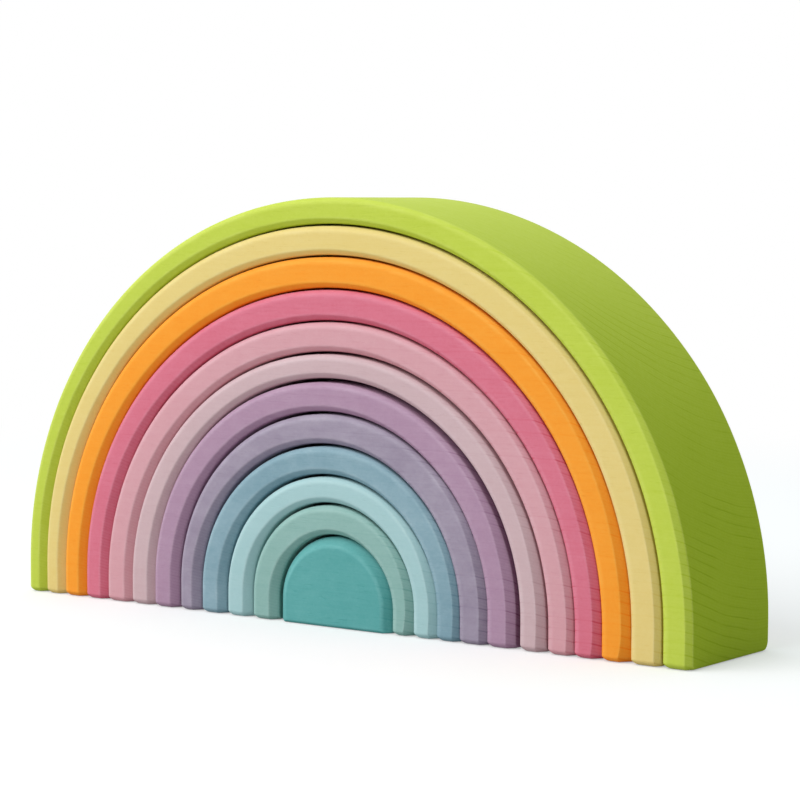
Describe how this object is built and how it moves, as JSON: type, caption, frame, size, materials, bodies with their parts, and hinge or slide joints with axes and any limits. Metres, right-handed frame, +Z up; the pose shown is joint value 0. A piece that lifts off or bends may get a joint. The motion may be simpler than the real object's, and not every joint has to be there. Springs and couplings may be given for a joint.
{
  "type": "rainbow stacker",
  "caption": "Nest of loose stained wooden arches in rainbow colours round a solid half-round core, for stacking and building; each piece slides out of the nest.",
  "frame": {"origin": "on the ground under the nest, midway between the outer feet and midway from front to back", "axes": "+X across the arches from left to right, +Y from the front faces to the back faces, +Z up"},
  "size_m": [0.38, 0.07, 0.196],
  "materials": {
    "green_stain": "matte",
    "yellow_stain": "matte",
    "orange_stain": "matte",
    "raspberry_stain": "matte",
    "rose_stain": "matte",
    "lilac_stain": "matte",
    "mauve_stain": "matte",
    "lavender_stain": "matte",
    "blue_stain": "matte",
    "aqua_stain": "matte",
    "sage_stain": "matte",
    "teal_stain": "matte"
  },
  "bodies": {
    "green_arch": {"green_arch": "green_stain"},
    "yellow_arch": {"yellow_arch": "yellow_stain"},
    "orange_arch": {"orange_arch": "orange_stain"},
    "raspberry_arch": {"raspberry_arch": "raspberry_stain"},
    "rose_arch": {"rose_arch": "rose_stain"},
    "lilac_arch": {"lilac_arch": "lilac_stain"},
    "mauve_arch": {"mauve_arch": "mauve_stain"},
    "lavender_arch": {"lavender_arch": "lavender_stain"},
    "blue_arch": {"blue_arch": "blue_stain"},
    "aqua_arch": {"aqua_arch": "aqua_stain"},
    "sage_arch": {"sage_arch": "sage_stain"},
    "teal_core": {"teal_core": "teal_stain"}
  },
  "joints": [
    {"name": "yellow_slide", "type": "slide", "parent": "green_arch", "child": "yellow_arch", "axis": [0, 1, 0], "range_m": [-0.08, 0.08]},
    {"name": "orange_slide", "type": "slide", "parent": "green_arch", "child": "orange_arch", "axis": [0, 1, 0], "range_m": [-0.08, 0.08]},
    {"name": "raspberry_slide", "type": "slide", "parent": "green_arch", "child": "raspberry_arch", "axis": [0, 1, 0], "range_m": [-0.08, 0.08]},
    {"name": "rose_slide", "type": "slide", "parent": "green_arch", "child": "rose_arch", "axis": [0, 1, 0], "range_m": [-0.08, 0.08]},
    {"name": "lilac_slide", "type": "slide", "parent": "green_arch", "child": "lilac_arch", "axis": [0, 1, 0], "range_m": [-0.08, 0.08]},
    {"name": "mauve_slide", "type": "slide", "parent": "green_arch", "child": "mauve_arch", "axis": [0, 1, 0], "range_m": [-0.08, 0.08]},
    {"name": "lavender_slide", "type": "slide", "parent": "green_arch", "child": "lavender_arch", "axis": [0, 1, 0], "range_m": [-0.08, 0.08]},
    {"name": "blue_slide", "type": "slide", "parent": "green_arch", "child": "blue_arch", "axis": [0, 1, 0], "range_m": [-0.08, 0.08]},
    {"name": "aqua_slide", "type": "slide", "parent": "green_arch", "child": "aqua_arch", "axis": [0, 1, 0], "range_m": [-0.08, 0.08]},
    {"name": "sage_slide", "type": "slide", "parent": "green_arch", "child": "sage_arch", "axis": [0, 1, 0], "range_m": [-0.08, 0.08]},
    {"name": "core_slide", "type": "slide", "parent": "green_arch", "child": "teal_core", "axis": [0, 1, 0], "range_m": [-0.08, 0.08]}
  ]
}
